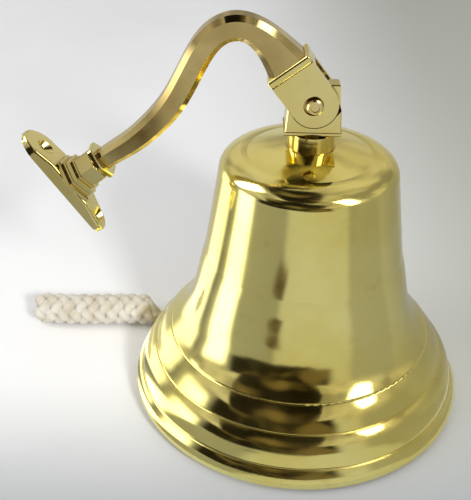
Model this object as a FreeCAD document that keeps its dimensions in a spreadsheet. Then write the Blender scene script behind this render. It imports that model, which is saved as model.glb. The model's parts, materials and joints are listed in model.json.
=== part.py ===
"""Ship bell on a swinging wall bracket: a parametric FreeCAD document, in millimetres.

The bell stands on its mouth with the pull rope led out under the rim, so it leans by the
thickness of the rope's tail. The bracket has swung over on its pin until the fork rests on the
corner of the crown lug.

Frames used below
  bell frame     Z is the bell's own axis, Z = 0 is the mouth, the bracket falls towards -X
  bracket frame  origin on the pin, Z up the fork, the wall towards -X (the bracket as it hangs)
  clapper frame  origin on the clapper pin, Z up the rod
"""
import FreeCAD, Part
import math
import os
import re
import Sketcher
from FreeCAD import Placement, Rotation, Vector

X_AXIS = Vector(1, 0, 0)
Y_AXIS = Vector(0, 1, 0)
Z_AXIS = Vector(0, 0, 1)

doc = FreeCAD.newDocument("ShipBell")

# ---------------------------------------------------------------- driving dimensions
SIZES = [
    # the bell
    ("bell_height", 163.5, "mouth to the top of the crown"),
    ("lip_radius", 101.5, "widest radius, at the lip band"),
    ("lip_height", 13.0, "lower turned groove above the mouth"),
    ("lip_inset", 4.5, "lower groove inside the lip radius"),
    ("foot_inset", 2.5, "foot ring inside the lip radius"),
    ("foot_width", 5.5, "flat ring that the bell stands on"),
    ("bow_height", 30.4, "middle turned groove above the mouth"),
    ("bow_inset", 13.6, "middle groove inside the lip radius"),
    ("flare_height", 44.0, "upper turned groove above the mouth"),
    ("flare_inset", 23.3, "upper groove inside the lip radius"),
    ("skirt_height", 72.0, "where the flare turns into the waist"),
    ("skirt_radius", 63.9, "outer radius there"),
    ("waist_height", 98.0, "foot of the straight waist"),
    ("waist_radius", 58.0, "outer radius there"),
    ("shoulder_radius", 50.7, "outer radius at the top of the waist"),
    ("shoulder_drop", 15.0, "crown top down to the top of the waist"),
    ("crown_radius", 35.0, "nearly flat top of the crown"),
    ("crown_drop", 4.5, "fall of the crown from middle to edge"),
    ("waist_wall", 4.5, "casting wall in the waist"),
    ("bow_wall", 6.5, "casting wall at the upper groove"),
    ("crown_wall", 5.0, "casting wall in the crown"),
    ("groove_radius", 0.8, "radius of the turned grooves"),
    ("groove_step", 0.9, "step outwards below each groove"),
    # the crown lug and what holds it
    ("lug_width", 30.4, "foot of the lug along X"),
    ("lug_top_width", 26.8, "top of the lug along X"),
    ("lug_thick", 19.0, "lug along the pin"),
    ("lug_above_pin", 10.0, "pin centre to the top of the tongue"),
    ("lug_below_pin", 15.5, "pin centre to the underside of the block"),
    ("lug_bevel", 0.6, "bevel on the lug's edges"),
    ("sole_thick", 2.2, "sole plate under the block"),
    ("sole_proud", 0.5, "sole plate standing out of the block"),
    ("neck_height", 11.8, "neck and sole between the crown and the block"),
    ("neck_radius", 13.0, "foot and top of the coved neck"),
    ("neck_waist_radius", 10.6, "narrowest part of the neck"),
    ("stud_radius", 6.0, "crown stud"),
    ("stud_in_lug", 13.6, "length of stud screwed into the lug"),
    ("hole_gap", 0.3, "clearance round the stud in the crown"),
    ("washer_radius", 15.0, "inner washer"),
    ("washer_thick", 2.5, "inner washer"),
    ("nut_flats", 18.0, "crown nut across flats"),
    ("nut_thick", 9.0, "crown nut"),
    # the clevis and the clapper
    ("clevis_width", 16.0, "clevis block, along X and Y"),
    ("clevis_gap", 1.0, "between the nut and the clevis"),
    ("clevis_roof", 9.0, "solid part of the clevis above its slot"),
    ("slot_width", 6.2, "clevis slot"),
    ("clapper_pin_radius", 2.5, "rivet that the clapper swings on"),
    ("pin_clearance", 0.06, "radial running clearance of both pins"),
    ("eye_radius", 7.0, "flat eye at the top of the clapper"),
    ("eye_thick", 5.0, "flat eye along the rivet"),
    ("rod_radius", 3.6, "clapper rod"),
    ("clapper_length", 86.0, "clapper pin to the middle of the ball"),
    ("ball_radius", 15.0, "clapper ball"),
    ("tail_length", 12.0, "ball underside to the middle of the rope eye"),
    ("rope_eye_radius", 5.4, "rope eye, centre line of its wire"),
    ("rope_eye_wire", 1.7, "radius of the wire"),
    # the bracket
    ("swing", 38.0, "degrees from hanging to the stop"),
    ("stop_gap", 0.1, "left between lug corner and fork at the stop"),
    ("pivot_radius", 4.4, "bracket pin"),
    ("pivot_front", 3.2, "pin standing out of the front ear"),
    ("pivot_head_radius", 7.2, "domed head behind the rear ear"),
    ("pivot_head_thick", 4.0, "domed head"),
    ("pivot_washer_radius", 8.5, "washer under the head"),
    ("pivot_washer_thick", 1.2, "washer under the head"),
    ("ear_thick", 4.6, "fork ears along the pin"),
    ("ear_radius", 12.7, "round end of the ears"),
    ("ear_gap", 0.35, "clearance between the ears and the tongue, and round their ends"),
    ("ear_sunk", 0.2, "ears' faces behind the lug's faces"),
    ("counterbore_radius", 5.4, "counterbore round the pin in the ears"),
    ("counterbore_depth", 1.5, "counterbore round the pin in the ears"),
    ("counterbore_off", 0.7, "counterbore's centre off the pin's"),
    ("fork_height", 20.6, "pin to the top of the fork"),
    ("band_thick", 4.6, "collar band between fork and arm"),
    ("band_proud", 0.5, "collar band standing out of the fork"),
    ("arm_top", 59.9, "pin up to the crest of the arm's centre line"),
    ("socket_height", 40.2, "pin up to the axis of the wall socket"),
    ("socket_reach", 114.0, "pin to the face of the wall socket"),
    ("arm_half_height", 6.9, "arm section, half its height"),
    ("arm_half_width", 6.6, "arm section, half its width"),
    ("arm_tip_half", 5.4, "arm section at the wall socket"),
    ("arm_root_half", 11.2, "arm section at the collar band, half its height"),
    ("arm_root_half_width", 8.8, "arm section at the collar band, half its width"),
    ("joint_stud_radius", 3.0, "studs hidden in both ends of the arm"),
    ("joint_stud_half", 7.2, "half the length of those studs"),
    ("collar_thick", 3.2, "collar plate at the socket"),
    ("collar_flats", 19.5, "collar plate across flats"),
    ("boss_flats", 17.6, "socket boss across flats"),
    ("boss_length", 10.0, "socket boss"),
    ("ledge_thick", 4.2, "each of the two steps under the boss"),
    ("ledge_grow", 4.2, "each step wider than the one above"),
    ("plate_turn", -13.0, "degrees that the plate and socket are screwed round on the arm"),
    ("plate_thick", 7.5, "wall plate behind the socket"),
    ("plate_slope", 12.0, "degrees that the plate's front falls away towards its ends"),
    ("plate_flat", 14.0, "half the length of the plate's flat middle"),
    ("plate_top_radius", 12.4, "upper lobe of the wall plate"),
    ("plate_foot_radius", 7.3, "lower lobe of the wall plate"),
    ("plate_hole_spacing", 50.0, "between the two screw holes"),
    ("plate_hole_radius", 2.6, "screw holes"),
    ("countersink_radius", 5.0, "screw heads' countersinks"),
    ("plate_round", 1.6, "rounded front edge of the wall plate"),
    # the rope
    ("tail_radius", 3.0, "rope tail"),
    ("braid_radius", 10.5, "plaited handle"),
    ("braid_length", 82.0, "plaited handle"),
    ("rope_gap", 0.1, "between the rope tail and the rim"),
    ("tail_bearing", 147.0, "degrees from +X to where the tail passes under the rim"),
]

# Sizes that follow from the driving ones.
DERIVED = {
    "pin_height": "bell_height + neck_height + lug_below_pin",
    "tongue_thick": "lug_thick - 2 * ear_thick - 2 * ear_gap",
    "lug_taper": "( lug_width - lug_top_width ) / 2 / ( lug_above_pin + lug_below_pin )",
    "stop_height": "( ( lug_top_width / 2 + lug_taper * lug_above_pin ) * cos( swing ) "
                   "- ear_radius - stop_gap ) / ( sin( swing ) + lug_taper * cos( swing ) )",
    "web_height": "sqrt( lug_top_width ^ 2 / 4 + lug_above_pin ^ 2 ) + 0.4",
    "foot_outer": "lip_radius - foot_inset",
    "foot_inner": "foot_outer - foot_width",
    "nut_foot": "bell_height - crown_wall - washer_thick - nut_thick",
    "clevis_top": "nut_foot - clevis_gap",
    "stud_foot": "clevis_top - clevis_roof + 2.5",
    "clapper_pin_height": "clevis_top - clevis_roof - eye_radius - 0.6",
    "clevis_foot": "clapper_pin_height - clevis_width * 0.38",
    "fork_thick": "lug_thick - 2 * ear_sunk",
    "collar_face": "socket_reach + collar_thick",
    "socket_back": "collar_face + boss_length + 2 * ledge_thick",
}

sheet = doc.addObject("Spreadsheet::Sheet", "dim")
for row, (alias, value, note) in enumerate(SIZES, start=1):
    sheet.set("A%d" % row, note)
    sheet.set("B%d" % row, str(value))
    sheet.setAlias("B%d" % row, alias)
doc.recompute()
ALIASES = {alias for alias, _, _ in SIZES}


def value(expression):
    """The number that an expression over the sheet's aliases has now."""
    return float(sheet.evalExpression(bound(expression)))


def bound(expression):
    """Give each alias in an expression its sheet, so that it can be bound to a property."""
    def full_name(match):
        word = match.group(0)
        if word in DERIVED:
            return "(" + bound(DERIVED[word]) + ")"
        return "dim." + word if word in ALIASES else word
    return re.sub(r"[a-z_]+", full_name, expression)


def bind(thing, **properties):
    """Bind properties of an object to expressions over the sheet."""
    for name, expression in properties.items():
        thing.setExpression(name.replace("__", "."), bound(expression))


# ---------------------------------------------------------------- sketching
def origin_plane(body, role):
    for feature in body.Origin.OriginFeatures:
        if feature.Role == role:
            return feature
    raise ValueError("no plane " + role)


def new_body(label):
    body = doc.addObject("PartDesign::Body", label)
    body.Label = label
    return body


def new_sketch(body, name, role="XZ_Plane", offset="0", turn=0.0):
    """A sketch on one of the body's own origin planes, lifted along its normal by an expression."""
    sketch = body.newObject("Sketcher::SketchObject", name)
    sketch.AttachmentSupport = [(origin_plane(body, role), "")]
    sketch.MapMode = "FlatFace"
    sketch.AttachmentOffset = Placement(Vector(0, 0, value(offset)), Rotation(Z_AXIS, turn))
    sketch.setExpression("AttachmentOffset.Base.z", bound(offset))
    return sketch


def pin_down(sketch, geometry, end, corner):
    """Hold one end of an edge at a corner given by two expressions."""
    for axis, expression in zip(("X", "Y"), corner):
        amount = value(expression)
        if abs(amount) < 1e-9:
            other_axis = -2 if axis == "X" else -1
            sketch.addConstraint(Sketcher.Constraint("PointOnObject", geometry, end, other_axis))
            continue
        index = sketch.addConstraint(
            Sketcher.Constraint("Distance" + axis, -1, 1, geometry, end, amount))
        sketch.setExpression("Constraints[%d]" % index, bound(expression))


def outline(sketch, corners):
    """A closed outline. A corner is (x, y), or (x, y, [via, ...]) where a smooth curve
    through the via points leads on to the next corner."""
    places = [Vector(value(c[0]), value(c[1]), 0) for c in corners]
    edges = []
    for number, corner in enumerate(corners):
        begin = places[number]
        finish = places[(number + 1) % len(places)]
        if len(corner) == 3:
            via = [Vector(value(x), value(y), 0) for x, y in corner[2]]
            curve = Part.BSplineCurve()
            curve.interpolate([begin] + via + [finish])
            edges.append(sketch.addGeometry(curve, False))
        else:
            edges.append(sketch.addGeometry(Part.LineSegment(begin, finish), False))
    for number, edge in enumerate(edges):
        following = edges[(number + 1) % len(edges)]
        sketch.addConstraint(Sketcher.Constraint("Coincident", edge, 2, following, 1))
    for edge, corner in zip(edges, corners):
        pin_down(sketch, edge, 1, corner[:2])
    return edges


def rectangle(sketch, width, height, x="0", y="0"):
    """A rectangle centred on (x, y)."""
    left, right = "(%s) - (%s) / 2" % (x, width), "(%s) + (%s) / 2" % (x, width)
    low, high = "(%s) - (%s) / 2" % (y, height), "(%s) + (%s) / 2" % (y, height)
    return outline(sketch, [(left, low), (right, low), (right, high), (left, high)])


def circle(sketch, radius, x="0", y="0"):
    edge = sketch.addGeometry(
        Part.Circle(Vector(value(x), value(y), 0), Z_AXIS, value(radius)), False)
    pin_down(sketch, edge, 3, (x, y))
    index = sketch.addConstraint(Sketcher.Constraint("Radius", edge, value(radius)))
    sketch.setExpression("Constraints[%d]" % index, bound(radius))
    return edge


def hexagon(sketch, flats, turn=0.0):
    """A hexagon centred on the sketch's origin; turn is the angle of its first corner."""
    corners = []
    for number in range(6):
        angle = math.radians(turn + 60 * number)
        reach = 1 / math.sqrt(3)
        corners.append(("(%s) * %.9f" % (flats, reach * math.cos(angle)),
                        "(%s) * %.9f" % (flats, reach * math.sin(angle))))
    return outline(sketch, corners)


# ---------------------------------------------------------------- features
def revolve(body, sketch, groove=False):
    """Turn a profile about the body's Z axis."""
    kind = "PartDesign::Groove" if groove else "PartDesign::Revolution"
    feature = body.newObject(kind, sketch.Name + ("_cut" if groove else "_turned"))
    feature.Profile = sketch
    feature.ReferenceAxis = (sketch, ["V_Axis"])
    feature.Angle = 360
    sketch.Visibility = False
    return feature


def pad(body, sketch, length, midplane=False, reverse=False):
    feature = body.newObject("PartDesign::Pad", sketch.Name + "_pad")
    feature.Profile = sketch
    feature.Midplane = midplane
    feature.Reversed = reverse
    bind(feature, Length=length)
    return feature


def pocket(body, sketch, length=None, midplane=True, reverse=False):
    feature = body.newObject("PartDesign::Pocket", sketch.Name + "_cut")
    feature.Profile = sketch
    feature.Midplane = midplane
    feature.Reversed = reverse
    if length is None:
        feature.Type = 1
    else:
        bind(feature, Length=length)
    return feature


def edges_where(shape, test):
    return ["Edge%d" % number for number, edge in enumerate(shape.Edges, start=1) if test(edge)]


def dress(body, kind, base, test, size):
    """Fillet or chamfer the edges of a feature that pass a test."""
    doc.recompute()
    feature = body.newObject("PartDesign::" + kind, base.Name + "_" + kind.lower())
    feature.Base = (base, edges_where(base.Shape, test))
    bind(feature, **{"Radius" if kind == "Fillet" else "Size": size})
    body.Tip = feature
    return feature


def turned(label, corners):
    """A body made by turning one closed profile about Z."""
    body = new_body(label)
    sketch = new_sketch(body, label + "_profile")
    outline(sketch, corners)
    revolve(body, sketch)
    return body


def prism(label, sketch_with, length, role="XY_Plane", offset="0", midplane=False, turn=0.0):
    """A body padded from one sketch; sketch_with draws into it."""
    body = new_body(label)
    sketch = new_sketch(body, label + "_outline", role, offset, turn)
    sketch_with(sketch)
    return body, pad(body, sketch, length, midplane=midplane)


# ---------------------------------------------------------------- the bell
def bell_shell():
    """The casting: turned profile with three stepped bands at the mouth and a drilled crown."""
    lip, high = "lip_radius", "bell_height"
    body = turned("bell_shell", [
        ("stud_radius + hole_gap", high),
        ("neck_radius + 1", high, [("crown_radius * 0.7", high + " - crown_drop * 0.42")]),
        ("crown_radius", high + " - crown_drop",
         [("crown_radius + ( shoulder_radius - crown_radius ) * 0.58",
           high + " - crown_drop - ( shoulder_drop - crown_drop ) * 0.2"),
          ("crown_radius + ( shoulder_radius - crown_radius ) * 0.9",
           high + " - crown_drop - ( shoulder_drop - crown_drop ) * 0.56")]),
        ("shoulder_radius", high + " - shoulder_drop"),
        ("waist_radius", "waist_height",
         [("skirt_radius", "skirt_height"),
          ("skirt_radius + ( lip_radius - flare_inset - skirt_radius ) * 0.38",
           "flare_height + ( skirt_height - flare_height ) * 0.43")]),
        (lip + " - flare_inset", "flare_height + groove_radius"),
        (lip + " - flare_inset + groove_step", "flare_height - groove_radius",
         [(lip + " - ( flare_inset + bow_inset ) / 2 + groove_step * 1.3",
           "( flare_height + bow_height ) / 2")]),
        (lip + " - bow_inset", "bow_height + groove_radius"),
        (lip + " - bow_inset + groove_step", "bow_height - groove_radius",
         [(lip + " - bow_inset * 0.55 + groove_step * 0.9", "( bow_height + lip_height ) / 2")]),
        (lip + " - lip_inset", "lip_height + groove_radius"),
        (lip + " - lip_inset + groove_step", "lip_height - groove_radius",
         [(lip + " - lip_inset * 0.25", "lip_height * 0.66"), (lip, "lip_height * 0.36"),
          (lip + " - foot_inset * 0.3", "lip_height * 0.1")]),
        ("foot_outer", "0"),
        ("foot_inner", "0"),
        (lip + " - flare_inset - bow_wall", "flare_height * 0.95"),
        ("skirt_radius - waist_wall * 1.15", "skirt_height"),
        ("waist_radius - waist_wall * 1.02", "waist_height"),
        ("shoulder_radius - waist_wall", high + " - shoulder_drop - waist_wall * 0.3",
         [("crown_radius + ( shoulder_radius - crown_radius ) * 0.5",
           high + " - crown_wall - crown_drop * 1.9")]),
        ("crown_radius - 2", high + " - crown_wall"),
        ("stud_radius + hole_gap", high + " - crown_wall"),
    ])
    grooves = new_sketch(body, "turned_grooves")
    for inset, height in (("flare_inset - groove_step * 0.5", "flare_height"),
                          ("bow_inset - groove_step * 0.5", "bow_height"),
                          ("lip_inset - groove_step * 0.5", "lip_height")):
        circle(grooves, "groove_radius", "lip_radius - ( %s ) + 0.25" % inset, height)
    revolve(body, grooves, groove=True)
    return body


def crown_lug():
    """Suspension block: a tapered tongue between the ears, a full-thick foot whose faces are
    hollowed for the ears' round ends, a sole plate and a coved neck."""
    half = "lug_width / 2"
    at_stop = "( lug_top_width / 2 + lug_taper * ( lug_above_pin - stop_height ) )"
    foot, stop = "pin_height - lug_below_pin", "pin_height + stop_height"
    touch = "( ear_radius + stop_gap ) * cos( swing )"
    touch_height = "pin_height - ( ear_radius + stop_gap ) * sin( swing )"
    body, block = prism(
        "crown_lug",
        lambda sketch: outline(sketch, [("0 - " + half, foot), (half, foot), (at_stop, stop),
                                        (touch, touch_height), ("0 - " + touch, touch_height),
                                        ("0 - " + at_stop, stop)]),
        "lug_thick", role="XZ_Plane", midplane=True)
    dress(body, "Chamfer", block, lambda edge: edge.BoundBox.ZLength > value("lug_below_pin") / 2,
          "lug_bevel")
    tongue = new_sketch(body, "lug_tongue")
    top, crest = "lug_top_width / 2", "pin_height + lug_above_pin"
    outline(tongue, [("0 - %s + 0.3" % half, foot), (half + " - 0.3", foot), (top, crest),
                     ("0 - " + top, crest)])
    blade = pad(body, tongue, "tongue_thick", midplane=True)
    dress(body, "Chamfer", blade, lambda edge: edge.BoundBox.ZMin > value(crest) - 0.01,
          "lug_bevel")
    for name, offset, towards_front in (("front", "tongue_thick / 2", True),
                                        ("rear", "0 - tongue_thick / 2", False)):
        hollow = new_sketch(body, name + "_hollow", "XZ_Plane", offset)
        circle(hollow, "ear_radius + ear_gap", "0", "pin_height")
        pocket(body, hollow, "lug_thick / 2", midplane=False, reverse=towards_front)
    under = foot + " - sole_thick"
    plate = new_sketch(body, "lug_sole", "XY_Plane", under)
    rectangle(plate, "lug_width + 2 * sole_proud", "lug_thick + 2 * sole_proud")
    sole = pad(body, plate, "sole_thick")
    dress(body, "Fillet", sole, lambda edge: edge.BoundBox.ZMax < value(under) + 0.01,
          "sole_thick * 0.4")
    neck = new_sketch(body, "lug_neck")
    outline(neck, [("0", "bell_height"), ("neck_radius", "bell_height"),
                   ("neck_radius", under,
                    [("neck_waist_radius", "( bell_height + %s ) / 2" % under)]),
                   ("stud_radius + 2", under), ("stud_radius + 2", foot), ("0", foot)])
    revolve(body, neck)
    bore = new_sketch(body, "lug_pin_bore")
    circle(bore, "pivot_radius", "0", "pin_height")
    pocket(body, bore, "lug_thick * 2")
    tapped = new_sketch(body, "lug_stud_bore", "XY_Plane", "bell_height + stud_in_lug / 2")
    circle(tapped, "stud_radius")
    pocket(body, tapped, "stud_in_lug")
    return body


def crown_stud():
    body, stud = prism("crown_stud", lambda sketch: circle(sketch, "stud_radius"),
                       "stud_in_lug + bell_height - stud_foot", offset="stud_foot")
    dress(body, "Chamfer", stud, lambda edge: True, "stud_radius * 0.12")
    return body


def inner_washer():
    return prism("inner_washer",
                 lambda sketch: (circle(sketch, "washer_radius"),
                                 circle(sketch, "stud_radius + hole_gap")),
                 "washer_thick", offset="bell_height - crown_wall - washer_thick")[0]


def crown_nut():
    body, nut = prism("crown_nut",
                      lambda sketch: (hexagon(sketch, "nut_flats"), circle(sketch, "stud_radius")),
                      "nut_thick",
                      offset="nut_foot")
    return body


def clapper_clevis():
    """A square block on the stud's end, slotted for the clapper's eye."""
    middle = "clapper_pin_height"
    body, block = prism("clapper_clevis",
                        lambda sketch: rectangle(sketch, "clevis_width", "clevis_width"),
                        "clevis_top - clevis_foot", offset="clevis_foot")
    dress(body, "Chamfer", block, lambda edge: abs(edge.tangentAt(edge.FirstParameter).z) > 0.9,
          "clevis_width * 0.12")
    slot = new_sketch(body, "clevis_slot", "YZ_Plane")
    outline(slot, [("0 - slot_width / 2", "clevis_foot - 1"), ("slot_width / 2", "clevis_foot - 1"),
                   ("slot_width / 2", "clevis_top - clevis_roof"),
                   ("0 - slot_width / 2", "clevis_top - clevis_roof")])
    pocket(body, slot, "clevis_width * 2")
    tapped = new_sketch(body, "clevis_stud_bore", "XY_Plane", "( stud_foot + clevis_top ) / 2")
    circle(tapped, "stud_radius")
    pocket(body, tapped, "clevis_top - stud_foot")
    bore = new_sketch(body, "clevis_pin_bore")
    circle(bore, "clapper_pin_radius", "0", middle)
    pocket(body, bore, "clevis_width * 2")
    return body


def clapper_pin():
    """A rivet across the clevis, flush with its cheeks and headed outside them."""
    body = new_body("clapper_pin")
    shank = new_sketch(body, "rivet_shank")
    circle(shank, "clapper_pin_radius", "0", "clapper_pin_height")
    pad(body, shank, "clevis_width", midplane=True)
    for name, side in (("front", "clevis_width / 2"), ("rear", "0 - clevis_width / 2 - 1.5")):
        head = new_sketch(body, "rivet_head_" + name, "XZ_Plane", side)
        circle(head, "clapper_pin_radius * 1.7", "0", "clapper_pin_height")
        pad(body, head, "1.5")
    return body


# ---------------------------------------------------------------- the clapper
def clapper_rod():
    """Round rod with a flat eye at the top, turning freely on the rivet."""
    body, eye = prism("clapper_rod",
                      lambda sketch: circle(sketch, "eye_radius"),
                      "eye_thick", role="XZ_Plane", midplane=True)
    shank = new_sketch(body, "rod_shank")
    outline(shank, [("0", "0 - clapper_length - ball_radius + 3"),
                    ("rod_radius", "0 - clapper_length - ball_radius + 3"),
                    ("rod_radius", "0 - eye_radius * 2"),
                    ("eye_thick / 2 - 0.2", "0 - eye_radius * 1.5"),
                    ("eye_thick / 2 - 0.2", "0 - eye_radius * 0.75"),
                    ("0", "0 - eye_radius * 0.75")])
    revolve(body, shank)
    bore = new_sketch(body, "rod_pin_bore")
    circle(bore, "clapper_pin_radius + pin_clearance")
    pocket(body, bore, "eye_thick * 3")
    return body


def clapper_ball():
    """The ball, bored for the rod."""
    low, high = "0 - clapper_length - ball_radius", "0 - clapper_length + ball_radius"
    ball = doc.addObject("Part::Sphere", "ball_blank")
    bind(ball, Radius="ball_radius", Placement__Base__z="0 - clapper_length")
    bore = doc.addObject("Part::Cylinder", "ball_bore")
    bind(bore, Radius="rod_radius", Height="2 * ball_radius",
         Placement__Base__z="3 - clapper_length - ball_radius")
    cut = doc.addObject("Part::Cut", "clapper_ball")
    cut.Base, cut.Tool = ball, bore
    cut.Label = "clapper_ball"
    return cut


def rope_eye():
    """Eye screwed up into the foot of the ball; the rope is made fast to it."""
    ring = doc.addObject("Part::Torus", "rope_eye_ring")
    bind(ring, Radius1="rope_eye_radius", Radius2="rope_eye_wire",
         Placement__Base__z="0 - clapper_length - ball_radius - tail_length")
    ring.Placement.Rotation = Rotation(X_AXIS, 90)
    stem = doc.addObject("Part::Cylinder", "rope_eye_stem")
    bind(stem, Radius="rope_eye_wire * 1.35", Height="tail_length - rope_eye_radius + 0.6",
         Placement__Base__z="rope_eye_radius - 0.6 - clapper_length - ball_radius - tail_length")
    joined = doc.addObject("Part::Fuse", "rope_eye")
    joined.Base, joined.Tool = ring, stem
    joined.Label = "rope_eye"
    return joined


# ---------------------------------------------------------------- the bracket
def pivot_pin():
    """Bell frame: a shouldered pin fast in the lug, its plain end to the front (-Y)."""
    body = new_body("pivot_pin")
    rear_face = "fork_thick / 2 + pivot_washer_thick + 0.2"
    shank = new_sketch(body, "pin_shank", "XZ_Plane", "0 - (%s)" % rear_face)
    circle(shank, "pivot_radius", "0", "pin_height")
    rod = pad(body, shank, "%s + fork_thick / 2 + pivot_front" % rear_face)
    front = value("fork_thick / 2 + pivot_front")
    dress(body, "Chamfer", rod, lambda edge: abs(edge.BoundBox.Center.y + front) < 0.1, "0.8")
    dimple = new_sketch(body, "pin_dimple", "XZ_Plane", "fork_thick / 2 + pivot_front")
    circle(dimple, "pivot_radius * 0.56", "0", "pin_height")
    pocket(body, dimple, "1.2")
    head = new_sketch(body, "pin_head", "XZ_Plane", "0 - (%s)" % rear_face)
    circle(head, "pivot_head_radius", "0", "pin_height")
    cap = pad(body, head, "pivot_head_thick", reverse=True)
    rear = value("%s + pivot_head_thick" % rear_face)
    dress(body, "Fillet", cap, lambda edge: abs(edge.BoundBox.Center.y - rear) < 0.1,
          "pivot_head_thick * 0.7")
    return body


def pivot_washer():
    """Between the pin's head and the rear ear."""
    return prism("pivot_washer",
                 lambda sketch: (circle(sketch, "pivot_washer_radius", "0", "pin_height"),
                                 circle(sketch, "pivot_radius + 0.1", "0", "pin_height")),
                 "pivot_washer_thick", role="XZ_Plane",
                 offset="0 - fork_thick / 2 - 0.1 - pivot_washer_thick")[0]


def bracket_fork():
    """Two round-ended ears that straddle the lug, and the web that stops it."""
    body = new_body("bracket_fork")
    ears = new_sketch(body, "fork_outline")
    half_turn = math.pi
    arc = ears.addGeometry(Part.ArcOfCircle(
        Part.Circle(Vector(0, 0, 0), Z_AXIS, value("ear_radius")), half_turn, 2 * half_turn), False)
    corners = [("ear_radius", "0"), ("ear_radius", "fork_height"),
               ("0 - ear_radius", "fork_height"), ("0 - ear_radius", "0")]
    places = [Vector(value(x), value(y), 0) for x, y in corners]
    sides = [ears.addGeometry(Part.LineSegment(places[n], places[n + 1]), False) for n in range(3)]
    ears.addConstraint(Sketcher.Constraint("Coincident", arc, 3, -1, 1))
    ears.addConstraint(Sketcher.Constraint("Coincident", arc, 2, sides[0], 1))
    ears.addConstraint(Sketcher.Constraint("Coincident", sides[0], 2, sides[1], 1))
    ears.addConstraint(Sketcher.Constraint("Coincident", sides[1], 2, sides[2], 1))
    ears.addConstraint(Sketcher.Constraint("Coincident", sides[2], 2, arc, 1))
    for side, corner in zip(sides, corners):
        pin_down(ears, side, 1, corner)
    ears.addConstraint(Sketcher.Constraint("PointOnObject", sides[2], 2, -1))
    pad(body, ears, "fork_thick", midplane=True)
    slot = new_sketch(body, "fork_slot", "YZ_Plane")
    wide = "tongue_thick / 2 + ear_gap"
    outline(slot, [("0 - ( %s )" % wide, "0 - ear_radius - 1"), (wide, "0 - ear_radius - 1"),
                   (wide, "web_height"), ("0 - ( %s )" % wide, "web_height")])
    pocket(body, slot, "ear_radius * 4")
    bore = new_sketch(body, "fork_pin_bore")
    circle(bore, "pivot_radius + pin_clearance")
    pocket(body, bore, "fork_thick * 2")
    for name, offset, towards_front in (
            ("front", "fork_thick / 2 - counterbore_depth", True),
            ("rear", "counterbore_depth - fork_thick / 2", False)):
        wide_bore = new_sketch(body, name + "_counterbore", "XZ_Plane", offset)
        circle(wide_bore, "counterbore_radius", "0 - counterbore_off", "counterbore_off * 0.3")
        pocket(body, wide_bore, "counterbore_depth * 2", midplane=False, reverse=towards_front)
    tapped = new_sketch(body, "fork_stud_bore", "XY_Plane", "fork_height")
    circle(tapped, "joint_stud_radius")
    pocket(body, tapped, "2 * ( fork_height - web_height ) + 2")
    return body


def arm_path():
    """Centre line of the swan neck in the bracket frame, from the wall socket to the fork."""
    reach, low, top = value("socket_reach"), value("socket_height"), value("arm_top")
    foot = value("fork_height + band_thick")
    return [Vector(-reach, 0, low), Vector(-reach * 0.85, 0, low - 1.0),
            Vector(-reach * 0.69, 0, low), Vector(-reach * 0.52, 0, low + (top - low) * 0.24),
            Vector(-reach * 0.31, 0, low + (top - low) * 0.8), Vector(-reach * 0.145, 0, top),
            Vector(-reach * 0.052, 0, top - (top - foot) * 0.17),
            Vector(-reach * 0.006, 0, top - (top - foot) * 0.53), Vector(0, 0, foot)]


def arm_section(centre, along, half_height, half_width):
    """A chamfered rectangle across the arm: flat sides with a bevel on each corner."""
    across = Y_AXIS
    up = along.cross(across) * -1
    bevel = 0.42 * min(half_height, half_width)
    ring = []
    for side, lift in ((1, 1), (-1, 1), (-1, -1), (1, -1)):
        inner = across * (side * (half_width - bevel)) + up * (lift * half_height)
        outer = across * (side * half_width) + up * (lift * (half_height - bevel))
        ring += [inner, outer] if side * lift < 0 else [outer, inner]
    corners = [centre + corner for corner in ring]
    return Part.makePolygon(corners + corners[:1])


def bracket_arm():
    """Swan neck: one loft through bevelled sections, drilled for a stud at each end."""
    path = Part.BSplineCurve()
    path.interpolate(Points=arm_path(), InitialTangent=X_AXIS * value("socket_reach"),
                     FinalTangent=Z_AXIS * -value("socket_reach"))
    tip, root = value("arm_tip_half"), value("arm_root_half")
    root_width = value("arm_root_half_width")
    half_height, half_width = value("arm_half_height"), value("arm_half_width")
    stations = 15
    length = path.length()
    sections = []
    for number in range(stations):
        share = number / (stations - 1)
        at = path.parameterAtDistance(share * length)
        swell = math.sin(min(share / 0.42, 1) * math.pi / 2)
        spread = max(0.0, (share - 0.8) / 0.2) ** 1.5
        tall = tip + (half_height - tip) * swell + (root - half_height) * spread
        wide = tip + (half_width - tip) * swell + (root_width - half_width) * spread
        sections.append(arm_section(path.value(at), path.tangent(at)[0], tall, wide))
    solid = Part.makeLoft(sections, True, False)
    for end, inward in ((arm_path()[0], X_AXIS), (arm_path()[-1], Z_AXIS)):
        solid = solid.cut(Part.makeCylinder(value("joint_stud_radius"), value("joint_stud_half"),
                                            end, inward))
    feature = doc.addObject("Part::Feature", "bracket_arm")
    feature.Label = "bracket_arm"
    feature.Shape = solid
    return feature


def arm_band():
    """Collar band between the fork and the foot of the arm."""
    body, band = prism("arm_band",
                       lambda sketch: (rectangle(sketch, "2 * (ear_radius + band_proud)",
                                                 "fork_thick + 2 * band_proud"),
                                       circle(sketch, "joint_stud_radius")),
                       "band_thick", offset="fork_height")
    dress(body, "Fillet", band, lambda edge: edge.Curve.TypeId == "Part::GeomLine", "1.4")
    return body


def joint_stud(label):
    """A plain stud hidden in the joint between two castings, its middle on the joint."""
    return prism(label, lambda sketch: circle(sketch, "joint_stud_radius"),
                 "2 * joint_stud_half", midplane=True)[0]


def socket_collar():
    """Six-sided plate where the arm enters the boss."""
    body, plate = prism("socket_collar",
                        lambda sketch: (hexagon(sketch, "collar_flats", 30),
                                        circle(sketch, "joint_stud_radius")),
                        "collar_thick")
    dress(body, "Chamfer", plate, lambda edge: edge.Curve.TypeId == "Part::GeomLine", "0.6")
    return body


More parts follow.
